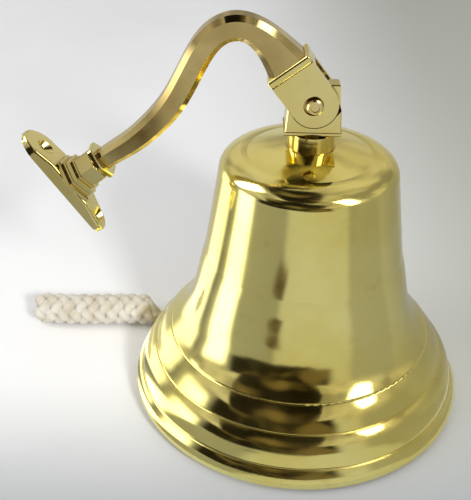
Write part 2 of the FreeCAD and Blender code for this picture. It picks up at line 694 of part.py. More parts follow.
def wall_socket():
    """Six-sided boss on two stepped ledges, tapped for the arm's stud."""
    body, boss = prism("wall_socket", lambda sketch: hexagon(sketch, "boss_flats", 30),
                       "boss_length")
    dress(body, "Chamfer", boss, lambda edge: edge.BoundBox.ZMin > value("boss_length") - 0.1
          or edge.BoundBox.ZLength > value("boss_length") - 0.1, "0.7")
    for number in (1, 2):
        ledge = new_sketch(body, "ledge_%d" % number, "XY_Plane",
                           "0 - ledge_thick * %d" % number)
        hexagon(ledge, "boss_flats + ledge_grow * %d" % number, 30)
        step = pad(body, ledge, "ledge_thick * 0.6")
        if number == 2:
            dress(body, "Chamfer", step, lambda edge: abs(edge.BoundBox.ZMin - value(
                "0 - ledge_thick * 2 + ledge_thick * 0.6")) < 0.02
                and edge.BoundBox.ZLength < 0.02, "0.5")
        rim = new_sketch(body, "ledge_neck_%d" % number, "XY_Plane",
                         "0 - ledge_thick * %d" % number)
        hexagon(rim, "boss_flats + ledge_grow * %d - 3.4" % number, 30)
        pad(body, rim, "ledge_thick")
    bore = new_sketch(body, "socket_bore", "XY_Plane", "boss_length - joint_stud_half / 2")
    circle(bore, "joint_stud_radius")
    pocket(body, bore, "joint_stud_half")
    return body


def wall_plate():
    """Pear-shaped plate with two countersunk screw holes, rounded at the front."""
    body = new_body("wall_plate")
    shape = new_sketch(body, "plate_outline", "XY_Plane")
    lean = "( plate_top_radius - plate_foot_radius ) / plate_hole_spacing"
    side = math.sqrt(1 - value(lean) ** 2)
    half = value("plate_hole_spacing") / 2
    tilt = math.asin(value(lean))
    top, foot = value("plate_top_radius"), value("plate_foot_radius")
    upper = shape.addGeometry(Part.ArcOfCircle(
        Part.Circle(Vector(half, 0, 0), Z_AXIS, top), -math.pi / 2 - tilt, math.pi / 2 + tilt), False)
    lower = shape.addGeometry(Part.ArcOfCircle(
        Part.Circle(Vector(-half, 0, 0), Z_AXIS, foot), math.pi / 2 + tilt, 1.5 * math.pi - tilt), False)
    ends = [(Vector(half - top * math.sin(tilt), s * top * side, 0),
             Vector(-half - foot * math.sin(tilt), s * foot * side, 0)) for s in (1, -1)]
    sides = [shape.addGeometry(Part.LineSegment(*pair), False) for pair in ends]
    join = [(upper, 2, sides[0], 1), (sides[0], 2, lower, 1),
            (upper, 1, sides[1], 1), (sides[1], 2, lower, 2)]
    for first, end, second, other in join:
        shape.addConstraint(Sketcher.Constraint("Tangent", first, end, second, other))
    for arc, radius, along in ((upper, "plate_top_radius", "plate_hole_spacing / 2"),
                               (lower, "plate_foot_radius", "0 - plate_hole_spacing / 2")):
        pin_down(shape, arc, 3, (along, "0"))
        index = shape.addConstraint(Sketcher.Constraint("Radius", arc, value(radius)))
        shape.setExpression("Constraints[%d]" % index, bound(radius))
    slab = pad(body, shape, "plate_thick")
    far = "( plate_hole_spacing / 2 + plate_top_radius + 2 )"
    for end in ("", "0 - "):
        wedge = new_sketch(body, "plate_slope_%d" % len(end))
        outline(wedge, [(end + "plate_flat", "plate_thick"), (end + far, "plate_thick + 1"),
                        (end + far, "plate_thick - ( %s - plate_flat ) * tan( plate_slope )" % far)])
        slab = pocket(body, wedge, "plate_top_radius * 4")
    dress(body, "Fillet", slab, lambda edge: edge.BoundBox.ZMin > 0.5
          and edge.BoundBox.YLength < value("2 * plate_top_radius") - 1
          or edge.BoundBox.ZMin > 0.5 and edge.Curve.TypeId != "Part::GeomLine", "plate_round")
    for number, along in enumerate(("plate_hole_spacing / 2", "0 - plate_hole_spacing / 2")):
        hole = new_sketch(body, "screw_hole_%d" % number, "XY_Plane")
        circle(hole, "plate_hole_radius", along, "0")
        pocket(body, hole, "plate_thick * 3")
        cone = body.newObject("PartDesign::SubtractiveCone", "countersink_%d" % number)
        bind(cone, Radius1="plate_hole_radius", Radius2="countersink_radius + 1.5",
             Height="countersink_radius + 1.5 - plate_hole_radius")
        cone.AttachmentSupport = [(origin_plane(body, "XY_Plane"), "")]
        cone.MapMode = "FlatFace"
        bind(cone, AttachmentOffset__Base__x=along,
             AttachmentOffset__Base__z="plate_thick - ( plate_hole_spacing / 2 - plate_flat ) "
             "* tan( plate_slope ) - countersink_radius + plate_hole_radius")
    return body


# ---------------------------------------------------------------- the rope
# Where the rope tail runs, from under the clapper's eye, beneath the rim and out to the plaited
# handle, with the handle's own line after it. It lies on the surface that the bell stands on.
# The points are in millimetres from the middle of the mouth, for ROUTE_RADIUS as lip radius and
# ROUTE_PLAIT as the handle's radius. A wider mouth spreads them, and a thicker handle lies
# further out.
ROUTE_RADIUS, ROUTE_PLAIT = 101.5, 10.5
TAIL_ROUTE = [Vector(-10, 5, 9.5), Vector(-25, 14, 4.4), Vector(-39, 27, 3.1),
              Vector(-55, 39, 3.0), Vector(-72, 49, 3.0), Vector(-90, 56, 3.2)]
BRAID_START = Vector(-90.5, 57, ROUTE_PLAIT + 0.1)
BRAID_RUN = Vector(-1, 0.03, 0)


def rope_place(point, outward=0.0, rise=0.0):
    """A route point on the floor about the mouth as it stands."""
    spread = value("lip_radius") / ROUTE_RADIUS
    return (Vector(point.x * spread, point.y * spread, point.z + rise) + BRAID_RUN * outward
            + Vector(centring.Base.x, centring.Base.y, 0))


def rope_path(points):
    """Straight runs joined by tangent arcs, each arc as large as its two runs allow."""
    edges = []
    begin = points[0]
    for before, corner, after in zip(points, points[1:], points[2:]):
        into, out = corner - before, after - corner
        turn = into.getAngle(out)
        cut_back = 0.45 * min(into.Length, out.Length)
        radius = cut_back / math.tan(turn / 2)
        print("rope arc radius %.1f mm, turn %.1f degrees" % (radius, math.degrees(turn)))
        into.normalize()
        out.normalize()
        first, last = corner - into * cut_back, corner + out * cut_back
        towards = (out - into).normalize()
        centre = corner + towards * (radius / math.cos(turn / 2))
        middle = centre - towards * radius
        edges.append(Part.LineSegment(begin, first).toShape())
        edges.append(Part.Arc(first, middle, last).toShape())
        begin = last
    edges.append(Part.LineSegment(begin, points[-1]).toShape())
    return Part.Wire(edges)


def rope_tail():
    route = [rope_place(point) for point in TAIL_ROUTE[:-1]]
    route.append(rope_place(TAIL_ROUTE[-1], value("braid_radius") - ROUTE_PLAIT))
    path = rope_path(route)
    ring = Part.makeCircle(value("tail_radius"), route[0], route[1] - route[0])
    solid = path.makePipeShell([Part.Wire([ring])], True, False)
    share = solid.Volume / (math.pi * value("tail_radius") ** 2 * path.Length)
    print("rope tail %.1f mm long, volume / (section x length) = %.4f" % (path.Length, share))
    feature = doc.addObject("Part::Feature", "rope_tail")
    feature.Label = "rope_tail"
    feature.Shape = solid
    return feature


def rope_braid():
    """The plaited handle, as one plain rod."""
    rod = doc.addObject("Part::Cylinder", "rope_braid")
    rod.Label = "rope_braid"
    bind(rod, Radius="braid_radius", Height="braid_length")
    thicker = value("braid_radius") - ROUTE_PLAIT
    rod.Placement = Placement(rope_place(BRAID_START, thicker, thicker),
                              Rotation(Z_AXIS, BRAID_RUN))
    return rod


# ---------------------------------------------------------------- placing the pieces
def lean():
    """The bell tips about the far side of its foot ring until it clears the rope tail."""
    outer, inner = value("foot_outer"), value("foot_inner")
    bearing = math.radians(value("tail_bearing"))
    towards_tail = Vector(math.cos(bearing), math.sin(bearing), 0)
    tilt = math.asin((2 * value("tail_radius") + value("rope_gap")) / (outer + inner))
    hinge_line = Vector(towards_tail.y, -towards_tail.x, 0)
    return Placement(Vector(), Rotation(hinge_line, math.degrees(tilt)), towards_tail * -outer)


def plumb(seat):
    """Degrees about the clapper pin that bring the clapper as near upright as its hinge allows."""
    down = seat.Rotation.inverted().multVec(Z_AXIS * -1)
    return math.degrees(math.atan2(-down.x, -down.z))


def along_socket(distance, turn="0"):
    """Bracket frame: Z out of the wall, X up it, at a distance behind the pin."""
    return Placement(Vector(-value(distance), 0, value("socket_height")),
                     Rotation(Vector(1, 0, 1), 180) * Rotation(Z_AXIS, value(turn)))


seat = lean()
hanging = seat * Placement(Vector(0, 0, value("pin_height")), Rotation(Y_AXIS, -value("swing")))
clapper = seat * Placement(Vector(0, 0, value("clapper_pin_height")),
                           Rotation(Y_AXIS, plumb(seat)))

PLACED = [(piece, seat) for piece in (
    bell_shell(), crown_lug(), crown_stud(), inner_washer(), crown_nut(), clapper_clevis(),
    clapper_pin(), pivot_pin(), pivot_washer())]
PLACED += [(piece, clapper) for piece in (clapper_rod(), clapper_ball(), rope_eye())]
PLACED += [(piece, hanging) for piece in (bracket_fork(), arm_band(), bracket_arm())]
PLACED += [(joint_stud("fork_stud"),
            hanging * Placement(Vector(0, 0, value("fork_height + band_thick")), Rotation()))]
PLACED += [(piece, hanging * along_socket(distance, turn)) for piece, distance, turn in (
    (joint_stud("socket_stud"), "socket_reach", "0"), (socket_collar(), "collar_face", "0"),
    (wall_socket(), "collar_face + boss_length", "plate_turn"),
    (wall_plate(), "socket_back + plate_thick", "plate_turn"))]

doc.recompute()
for piece, place in PLACED:
    piece.Placement = place
doc.recompute()

# The frame's origin is under the middle of everything but the rope.
box = FreeCAD.BoundBox()
for piece, _ in PLACED:
    box.add(piece.Shape.optimalBoundingBox(False))
centring = Placement(Vector(-box.Center.x, -box.Center.y, -box.ZMin), Rotation())
for piece, place in PLACED:
    piece.Placement = centring * place
ROPE = [rope_tail(), rope_braid()]
doc.recompute()

# ---------------------------------------------------------------- checks and export
for thing in doc.Objects:
    if "Invalid" in thing.State or "Error" in thing.State:
        raise RuntimeError("%s failed: %s" % (thing.Name, thing.State))
os.makedirs("parts", exist_ok=True)
for piece in [piece for piece, _ in PLACED] + ROPE:
    if piece.Shape.isNull() or not piece.Shape.isValid():
        raise RuntimeError(piece.Label + " has no valid shape")
    if len(piece.Shape.Solids) != 1:
        raise RuntimeError("%s has %d solids" % (piece.Label, len(piece.Shape.Solids)))
    piece.Shape.exportStep("parts/%s.step" % piece.Label)
    print("%-16s %10.1f mm3" % (piece.Label, piece.Shape.Volume))
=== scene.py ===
"""Looks for a polished brass ship bell on a swinging wall bracket, with a plaited clapper rope.

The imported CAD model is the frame: its brass pieces keep their meshes and get finished materials,
and the rope's two plain solids are replaced by laid and plaited strands. Units are metres.
"""
import json
import math
import random

import bpy
from mathutils import Matrix, Vector

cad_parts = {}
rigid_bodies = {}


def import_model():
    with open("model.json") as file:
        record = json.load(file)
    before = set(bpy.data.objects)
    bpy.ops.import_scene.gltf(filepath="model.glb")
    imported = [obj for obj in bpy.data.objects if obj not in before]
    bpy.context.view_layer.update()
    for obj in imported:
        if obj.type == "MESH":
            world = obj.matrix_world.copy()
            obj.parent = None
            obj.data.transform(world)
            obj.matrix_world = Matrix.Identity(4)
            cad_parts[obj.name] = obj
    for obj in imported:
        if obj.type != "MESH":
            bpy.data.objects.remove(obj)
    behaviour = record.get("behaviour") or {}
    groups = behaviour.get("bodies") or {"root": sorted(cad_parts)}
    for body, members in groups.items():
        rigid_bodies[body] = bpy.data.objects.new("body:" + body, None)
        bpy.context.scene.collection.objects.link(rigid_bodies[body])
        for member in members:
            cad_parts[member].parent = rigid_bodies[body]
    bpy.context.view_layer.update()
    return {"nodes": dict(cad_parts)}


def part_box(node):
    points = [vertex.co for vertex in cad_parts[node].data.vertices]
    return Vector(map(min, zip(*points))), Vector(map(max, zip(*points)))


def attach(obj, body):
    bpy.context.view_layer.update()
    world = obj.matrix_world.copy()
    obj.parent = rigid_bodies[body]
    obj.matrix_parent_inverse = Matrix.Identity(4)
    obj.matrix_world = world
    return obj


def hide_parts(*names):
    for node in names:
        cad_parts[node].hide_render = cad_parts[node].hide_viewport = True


for leftover in list(bpy.data.objects):
    bpy.data.objects.remove(leftover)
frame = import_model()
nodes = frame["nodes"]
scene = bpy.context.scene
random.seed(7)

bell_low, bell_high = (Vector(corner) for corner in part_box("bell_shell"))
BELL = Vector(((bell_low.x + bell_high.x) / 2, (bell_low.y + bell_high.y) / 2, 0.0))
BELL_RADIUS = (bell_high.y - bell_low.y) / 2


# ---------------------------------------------------------------- camera
def look_at(eye, target, roll=0.0):
    """Rotation of an object at eye that faces target, turned by roll radians about its view."""
    back = (eye - target).normalized()
    right = Vector((0, 0, 1)).cross(back).normalized()
    up = back.cross(right)
    level = Matrix((right, up, back)).transposed()
    return (level @ Matrix.Rotation(roll, 3, "Z")).to_euler()


EYE = BELL + Vector((-0.03003, -0.45481, 0.38010))
AIM = BELL + Vector((-0.03766, 0.0, 0.09671))
LENS = 68.8
ROLL_DEGREES = -0.464
camera_data = bpy.data.cameras.new("camera")
camera_data.sensor_fit = "HORIZONTAL"
camera_data.sensor_width = 36.0
camera_data.lens = LENS
camera_data.clip_start = 0.02
camera_data.clip_end = 50.0
camera_data.dof.use_dof = False
camera = bpy.data.objects.new("camera", camera_data)
scene.collection.objects.link(camera)
camera.location = EYE
camera.rotation_euler = look_at(EYE, AIM, math.radians(ROLL_DEGREES))
scene.camera = camera

# ---------------------------------------------------------------- the rope's line
# The tail's route, from under the clapper's eye, beneath the rim and out to the plaited handle.
TAIL_POINTS = [(0.01704, 0.0051, 0.0095), (0.00204, 0.0141, 0.0044),
               (-0.01196, 0.0271, 0.0031), (-0.02796, 0.0391, 0.0030),
               (-0.04496, 0.0491, 0.0030), (-0.06296, 0.0561, 0.0032)]
SPLINE_STEPS = 24


def spline_points(name, points):
    """Points along the NURBS spline that has the given control points."""
    curve = bpy.data.curves.new(name, "CURVE")
    curve.dimensions = "3D"
    spline = curve.splines.new("NURBS")
    spline.points.add(len(points) - 1)
    for point, place in zip(spline.points, points):
        point.co = (*place, 1.0)
    spline.order_u = 3
    spline.use_endpoint_u = True
    spline.resolution_u = SPLINE_STEPS
    holder = bpy.data.objects.new(name, curve)
    scene.collection.objects.link(holder)
    line = bpy.data.meshes.new_from_object(holder)
    found = [vertex.co.copy() for vertex in line.vertices]
    bpy.data.objects.remove(holder)
    bpy.data.curves.remove(curve)
    bpy.data.meshes.remove(line)
    return found


# ---------------------------------------------------------------- node helpers
class Tree:
    """A few short calls that build one node tree."""

    def __init__(self, tree):
        self.tree = tree
        tree.nodes.clear()

    def add(self, kind, inputs=None, **settings):
        node = self.tree.nodes.new(kind)
        for key, value in settings.items():
            setattr(node, key, value)
        for key, value in (inputs or {}).items():
            if isinstance(value, bpy.types.NodeSocket):
                self.tree.links.new(value, node.inputs[key])
            else:
                node.inputs[key].default_value = value
        return node

    def math(self, operation, first, second):
        return self.add("ShaderNodeMath", {0: first, 1: second}, operation=operation).outputs[0]

    def smooth(self, value, low, high, to_low=0.0, to_high=1.0):
        node = self.add("ShaderNodeMapRange", {"Value": value, "From Min": low, "From Max": high,
                                               "To Min": to_low, "To Max": to_high},
                        interpolation_type="SMOOTHSTEP")
        return node.outputs[0]

    def mix(self, factor, first, second):
        node = self.add("ShaderNodeMix", {0: factor, 6: first, 7: second}, data_type="RGBA")
        return node.outputs[2]

    def noise(self, vector, scale, detail=3.0, roughness=0.5):
        node = self.add("ShaderNodeTexNoise", {"Vector": vector, "Scale": scale,
                                               "Detail": detail, "Roughness": roughness})
        return node.outputs["Fac"]

    def place(self, scale=(1, 1, 1)):
        coords = self.add("ShaderNodeTexCoord").outputs["Object"]
        return self.add("ShaderNodeMapping", {"Vector": coords, "Scale": scale}).outputs[0]

    def ramp(self, fraction, stops):
        """A colour ramp with the given (position, colour) stops."""
        node = self.add("ShaderNodeValToRGB", {"Fac": fraction})
        elements = node.color_ramp.elements
        for index, (position, colour) in enumerate(stops):
            stop = elements[index] if index < 2 else elements.new(position)
            stop.position = position
            stop.color = colour
        return node


def new_material(name):
    """A material and the helper for its emptied node tree."""
    material = bpy.data.materials.new(name)
    material.use_nodes = True
    return material, Tree(material.node_tree)


# ---------------------------------------------------------------- materials
PALE_GOLD = (0.93, 0.85, 0.33, 1)
DEEP_GOLD = (0.86, 0.74, 0.22, 1)
TARNISH = (0.34, 0.15, 0.05, 1)
YARN_SLANT = 0.62


def brass(name, pale, deep, gloss, grain):
    """Buffed brass: two golds mottled together, hairline polishing marks and dulled hollows."""
    material, tree = new_material(name)
    where = tree.place()
    mottle = tree.smooth(tree.noise(where, 16.0, 4.0, 0.55), 0.36, 0.68)
    colour = tree.mix(mottle, pale, deep)
    film = tree.smooth(tree.noise(where, 55.0, 5.0, 0.65), 0.56, 0.80, 0.0, 0.35)
    colour = tree.mix(film, colour, (deep[0] * 0.80, deep[1] * 0.70, deep[2] * 0.60, 1))
    hollow = tree.add("ShaderNodeAmbientOcclusion", {"Distance": 0.0022}, samples=6).outputs["AO"]
    worn_in = tree.smooth(hollow, 0.72, 0.38)
    colour = tree.mix(worn_in, colour, TARNISH)
    hairs = tree.noise(tree.place(scale=(1.0, 1.0, 26.0)), 90.0, 4.0, 0.7)
    smears = tree.noise(where, 30.0, 4.0, 0.6)
    rough = tree.math("ADD", tree.smooth(smears, 0.35, 0.75, gloss, gloss + 0.09),
                      tree.math("MULTIPLY", hairs, 0.05))
    rough = tree.math("ADD", rough, tree.math("MULTIPLY", worn_in, 0.22))
    wave = tree.noise(where, 34.0, 2.0, 0.4)
    soft = tree.add("ShaderNodeBump", {"Strength": 0.12, "Distance": 0.00035, "Height": wave})
    fine = tree.add("ShaderNodeBump", {"Strength": grain, "Distance": 0.00004, "Height": hairs,
                                       "Normal": soft.outputs[0]})
    shader = tree.add("ShaderNodeBsdfPrincipled", {"Base Color": colour, "Roughness": rough,
                                                   "Normal": fine.outputs[0]})
    shader.inputs["Metallic"].default_value = 1.0
    shader.inputs["IOR"].default_value = 1.5
    tree.add("ShaderNodeOutputMaterial", {"Surface": shader.outputs[0]})
    return material


def cotton(name, fibre_scale):
    """Undyed cotton: cream yarn, dirty in patches, with painted shade browning its hollows and the
    grooves between yarns, and a soft sheen.
    """
    material, tree = new_material(name)
    where = tree.place()
    uv = tree.add("ShaderNodeUVMap", uv_map="along").outputs[0]
    yarn_space = tree.add("ShaderNodeMapping", {"Vector": uv,
                                                "Rotation": (0, 0, YARN_SLANT)}).outputs[0]
    yarns = tree.add("ShaderNodeTexWave", {"Vector": yarn_space, "Scale": fibre_scale,
                                           "Distortion": 1.6, "Detail": 2.0,
                                           "Detail Scale": 2.0},
                     wave_type="BANDS", bands_direction="X").outputs["Fac"]
    dirt = tree.smooth(tree.noise(where, 70.0, 4.0, 0.6), 0.40, 0.72)
    colour = tree.mix(dirt, (0.90, 0.86, 0.76, 1), (0.74, 0.65, 0.50, 1))
    # Painted shade: darker brown in the grooves between the yarns.
    colour = tree.mix(tree.smooth(yarns, 0.30, 0.0, 0.0, 0.55), colour, (0.42, 0.34, 0.24, 1))
    # Painted shade: brown where the occlusion finds hollows between the strands.
    hollow = tree.add("ShaderNodeAmbientOcclusion", {"Distance": 0.003}, samples=6).outputs["AO"]
    colour = tree.mix(tree.smooth(hollow, 0.70, 0.20, 0.0, 0.75), colour, (0.27, 0.20, 0.13, 1))
    fuzz = tree.noise(where, 2600.0, 3.0, 0.7)
    coarse = tree.add("ShaderNodeBump", {"Strength": 0.75, "Distance": 0.0005, "Height": yarns})
    fine = tree.add("ShaderNodeBump", {"Strength": 0.5, "Distance": 0.0002, "Height": fuzz,
                                       "Normal": coarse.outputs[0]})
    shader = tree.add("ShaderNodeBsdfPrincipled", {"Base Color": colour,
                                                   "Normal": fine.outputs[0]})
    shader.inputs["Roughness"].default_value = 0.92
    shader.inputs["Sheen Weight"].default_value = 0.35
    shader.inputs["Sheen Roughness"].default_value = 0.5
    tree.add("ShaderNodeOutputMaterial", {"Surface": shader.outputs[0]})
    return material


BELL_BRASS = brass("bell_brass", PALE_GOLD, DEEP_GOLD, 0.055, 0.10)
BRACKET_BRASS = brass("bracket_brass", (0.93, 0.84, 0.38, 1), (0.85, 0.71, 0.25, 1), 0.05, 0.12)
# The arm's golds are darker than the bracket's: painted shade, standing in for the dark room that the
# arm's front mirrors.
DARKENED_ARM_BRASS = brass("arm_brass_painted_shade", (0.76, 0.64, 0.28, 1), (0.52, 0.39, 0.15, 1), 0.05, 0.12)
HARDWARE_BRASS = brass("hardware_brass", (0.91, 0.79, 0.37, 1), (0.80, 0.64, 0.24, 1), 0.09, 0.25)
HIDDEN_BRASS = brass("hidden_brass", (0.74, 0.56, 0.25, 1), (0.56, 0.38, 0.13, 1), 0.26, 0.45)
ROPE_COTTON = cotton("rope_cotton", 1.0)

FINISH = {
    "bell_shell": BELL_BRASS, "crown_lug": BRACKET_BRASS, "bracket_fork": BRACKET_BRASS,
    "arm_band": BRACKET_BRASS, "bracket_arm": DARKENED_ARM_BRASS, "socket_collar": BRACKET_BRASS,
    "wall_socket": BRACKET_BRASS, "wall_plate": BRACKET_BRASS, "pivot_pin": HARDWARE_BRASS,
    "pivot_washer": HARDWARE_BRASS, "clapper_ball": HARDWARE_BRASS,
    "clapper_clevis": HARDWARE_BRASS, "clapper_pin": HARDWARE_BRASS,
    "rope_eye": HARDWARE_BRASS, "crown_nut": HIDDEN_BRASS, "inner_washer": HIDDEN_BRASS,
    "crown_stud": HIDDEN_BRASS, "fork_stud": HIDDEN_BRASS, "socket_stud": HIDDEN_BRASS,
    "clapper_rod": HIDDEN_BRASS,
}
for name, material in FINISH.items():
    for material_slot in nodes[name].material_slots:
        material_slot.link = "OBJECT"
        material_slot.material = material


# ---------------------------------------------------------------- rope strands
# UVs count millimetres along a strand. FLATTENING is how much a plaited strand is pressed flat,
# and TIP_SHARE is where a rounded nose begins, in rings before the first one.
UV_PER_METRE = 1000
UV_ROUND_STRAND = 6
FLATTENING = 0.16
TIP_SHARE = 0.35


def frames_along(points):
    """(place, side, lift) at each point, with the sides carried along without twisting."""
    found = []
    side = None
    for index, place in enumerate(points):
        tangent = (points[min(index + 1, len(points) - 1)] - points[max(index - 1, 0)]).normalized()
        if side is None:
            side = tangent.cross(Vector((0, 0, 1))).normalized()
        side = (side - tangent * side.dot(tangent)).normalized()
        found.append((place, side, tangent.cross(side)))
    return found


def add_tube(mesh_points, faces, uvs, path, radii, sides, squash):
    """Adds one tube with closed ends to the lists of a mesh being made.

    squash holds, for each point, the direction in which the tube is pressed flat, or is None.
    """
    start = len(mesh_points)
    travelled = 0.0
    along = []
    for index, (place, side, lift) in enumerate(frames_along(path)):
        if index:
            travelled += (path[index] - path[index - 1]).length
        along.append(travelled * UV_PER_METRE)
        for turn in range(sides):
            angle = 2 * math.pi * turn / sides
            offset = (side * math.cos(angle) + lift * math.sin(angle)) * radii[index]
            if squash:
                offset -= squash[index] * (offset.dot(squash[index]) * FLATTENING)
            mesh_points.append(place + offset)
    for index in range(len(path) - 1):
        for turn in range(sides):
            after = (turn + 1) % sides
            low, high = start + index * sides, start + (index + 1) * sides
            faces.append((low + turn, low + after, high + after, high + turn))
            near, far = along[index], along[index + 1]
            left = turn / sides * UV_ROUND_STRAND
            right = (turn + 1) / sides * UV_ROUND_STRAND
            uvs.append([(near, left), (near, right), (far, right), (far, left)])
    for index, order in ((0, -1), (len(path) - 1, 1)):
        ring = [start + index * sides + turn for turn in range(sides)][::order]
        faces.append(tuple(ring))
        uvs.append([(along[index], 0.0)] * sides)


def rounded(count, radius, nose):
    """Radii of a tube with count rings that narrows to a round nose, nose rings long, at each end."""
    radii = []
    for index in range(count):
        nearest = min(index, count - 1 - index)
        share = min(1.0, (nearest + TIP_SHARE) / nose)
        radii.append(radius * math.sqrt(1 - (1 - share) ** 2))
    return radii


def strand_object(name, tubes, sides):
    """One mesh object made of (path, radii, squash) tubes, with UVs that run along each tube."""
    mesh_points, faces, uvs = [], [], []
    for path, radii, squash in tubes:
        add_tube(mesh_points, faces, uvs, path, radii, sides, squash)
    mesh = bpy.data.meshes.new(name)
    mesh.from_pydata([tuple(point) for point in mesh_points], [], faces)
    layer = mesh.uv_layers.new(name="along")
    for polygon, corners in zip(mesh.polygons, uvs):
        polygon.use_smooth = True
        for loop, corner in zip(polygon.loop_indices, corners):
            layer.data[loop].uv = corner
    mesh.validate()
    mesh.materials.append(ROPE_COTTON)
    piece = bpy.data.objects.new(name, mesh)
    scene.collection.objects.link(piece)
    return piece


def resample(points, step):
    """The same line with its points a fixed step apart."""
    out, spare = [points[0]], 0.0
    for before, after in zip(points, points[1:]):
        gap = (after - before).length
        travelled = step - spare
        while travelled <= gap:
            out.append(before.lerp(after, travelled / gap))
            travelled += step
        spare = gap - (travelled - step)
    if (out[-1] - points[-1]).length > step * 0.3:
        out.append(points[-1])
    return out


# The tail: three thin strands laid round its route.
TAIL_STEP = 0.0009
TAIL_STRANDS = 3
LAY_LENGTH = 0.019
TAIL_STRAND_OUT = 0.00145
TAIL_STRAND_RADIUS = 0.00153
TAIL_NOSE_RINGS = 4
tail_line = resample(spline_points("tail_route", TAIL_POINTS), TAIL_STEP)
tail_tubes = []
for strand in range(TAIL_STRANDS):
    path = []
    travelled = 0.0
    for index, (place, side, lift) in enumerate(frames_along(tail_line)):
        if index:
            travelled += (tail_line[index] - tail_line[index - 1]).length
        angle = 2 * math.pi * (travelled / LAY_LENGTH + strand / TAIL_STRANDS)
        path.append(place + (side * math.cos(angle) + lift * math.sin(angle)) * TAIL_STRAND_OUT)
    tail_tubes.append((path, rounded(len(path), TAIL_STRAND_RADIUS, TAIL_NOSE_RINGS), None))
rope_tail = strand_object("rope_tail_laid", tail_tubes, sides=10)

# The handle: eight soft strands, four each way, passing over and under one another about the
# plait's line. They gather into the tail at one end and stop blunt at the other. PLUMP enlarges
# the strands and lifts the plait's line, and OVERRUN takes its free end past the plain solid's.
PLUMP = 1.11
OVERRUN = 0.005
PLAIT_TURN = 0.034
STRANDS_EACH_WAY = 4
PLAIT_STEPS = 150
PLAIT_NOSE_RINGS = 6
STRAND_OUT = 0.0055
STRAND_RADIUS = 0.0034
WEAVE_DEPTH = 0.00135
GATHER_LENGTH = 0.013
GATHER_PULL = 0.9
GATHER_LIFT = 0.0018
BLUNT_LENGTH = 0.004
SWAY = 0.0007
SWAY_TURNS = 7.0
WOBBLE = 0.12
UP = Vector((0, 0, 1))
braid_low, braid_high = (Vector(corner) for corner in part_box("rope_braid"))
braid_radius = (braid_high.z - braid_low.z) / 2
braid_height = braid_low.z + braid_radius * PLUMP
near_end = Vector((braid_high.x, braid_low.y + braid_radius, braid_height))
far_end = Vector((braid_low.x - OVERRUN, braid_high.y - braid_radius, braid_height))
tail_end = tail_line[-1]
braid_run = far_end - near_end
braid_across = Vector((-braid_run.y, braid_run.x, 0)).normalized()
plait_radii = []
for index, full in enumerate(rounded(PLAIT_STEPS + 1, STRAND_RADIUS * PLUMP, PLAIT_NOSE_RINGS)):
    along = index / PLAIT_STEPS * braid_run.length
    plait_radii.append(full * (0.55 + 0.45 * min(1.0, along / GATHER_LENGTH)))
plait_tubes = []
for way in (1, -1):
    for strand in range(STRANDS_EACH_WAY):
        path, spokes = [], []
        phase = 2 * math.pi * strand / STRANDS_EACH_WAY
        wobble = random.uniform(-WOBBLE, WOBBLE)
        for index in range(PLAIT_STEPS + 1):
            share = index / PLAIT_STEPS
            along = share * braid_run.length
            gather = min(1.0, along / GATHER_LENGTH)
            gather = gather * gather * (3 - 2 * gather)
            blunt = min(1.0, (braid_run.length - along) / BLUNT_LENGTH)
            centre = near_end + braid_run * share
            centre = centre.lerp(Vector((centre.x, tail_end.y, tail_end.z + GATHER_LIFT)),
                                 (1 - gather) * GATHER_PULL)
            centre.y += SWAY * math.sin(share * SWAY_TURNS)
            angle = phase + way * 2 * math.pi * along / PLAIT_TURN + wobble * share
            weave = math.cos(STRANDS_EACH_WAY * 2 * math.pi * along / PLAIT_TURN)
            out = (STRAND_OUT + way * WEAVE_DEPTH * weave) * PLUMP * (0.30 + 0.70 * gather)
            out *= 0.93 + 0.07 * blunt
            spoke = braid_across * math.cos(angle) + UP * math.sin(angle)
            path.append(centre + spoke * out)
            spokes.append(spoke)
        plait_tubes.append((path, plait_radii, spokes))
rope_braid = strand_object("rope_handle_plait", plait_tubes, sides=12)

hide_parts("rope_tail")
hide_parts("rope_braid")
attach(rope_tail, "bell")
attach(rope_braid, "bell")


# ---------------------------------------------------------------- stage
FLOOR_HALF = 6


def plain_object(name, points, faces, material):
    """A stage object: no part of the bell."""
    mesh = bpy.data.meshes.new(name)
    mesh.from_pydata(points, [], faces)
    mesh.materials.append(material)
    piece = bpy.data.objects.new(name, mesh)
    scene.collection.objects.link(piece)
    return piece


def mirror_only(piece):
    """Makes a card show only in glossy reflections, with no light or shadow of its own."""
    piece.visible_camera = False
    piece.visible_diffuse = False
    piece.visible_shadow = False
    piece.visible_transmission = False
    piece.visible_volume_scatter = False


def outward(bearing, height):
    """Unit vector away from the bell, from degrees right of straight ahead and degrees up."""
    turn, rise = math.radians(bearing), math.radians(height)
    return Vector((math.sin(turn) * math.cos(rise), -math.cos(turn) * math.cos(rise),
                   math.sin(rise)))


def pale_sheet():
    """The pale ground, with painted shade that darkens it to the right and towards the front."""
    material, tree = new_material("pale_sheet")
    where = tree.place()
    tone = tree.smooth(tree.noise(where, 3.0, 3.0, 0.5), 0.3, 0.7)
    tone = tree.mix(tone, (0.84, 0.84, 0.84, 1), (0.89, 0.89, 0.89, 1))
    spread = tree.add("ShaderNodeSeparateXYZ", {"Vector": where})
    # Painted shade: greyer to the right, and darker still towards the front.
    tone = tree.mix(tree.smooth(spread.outputs["X"], -0.08, 0.24), tone, (0.45, 0.46, 0.41, 1))
    tone = tree.mix(tree.smooth(spread.outputs["Y"], 0.02, -0.16), tone, (0.34, 0.355, 0.37, 1))
    uneven = tree.add("ShaderNodeBump", {"Strength": 0.15, "Distance": 0.001,
                                         "Height": tree.noise(where, 60.0, 3.0, 0.6)})
    shader = tree.add("ShaderNodeBsdfPrincipled", {"Base Color": tone,
                                                   "Normal": uneven.outputs[0]})
    shader.inputs["Roughness"].default_value = 0.85
    shader.inputs["Specular IOR Level"].default_value = 0.2
    tree.add("ShaderNodeOutputMaterial", {"Surface": shader.outputs[0]})
    return material


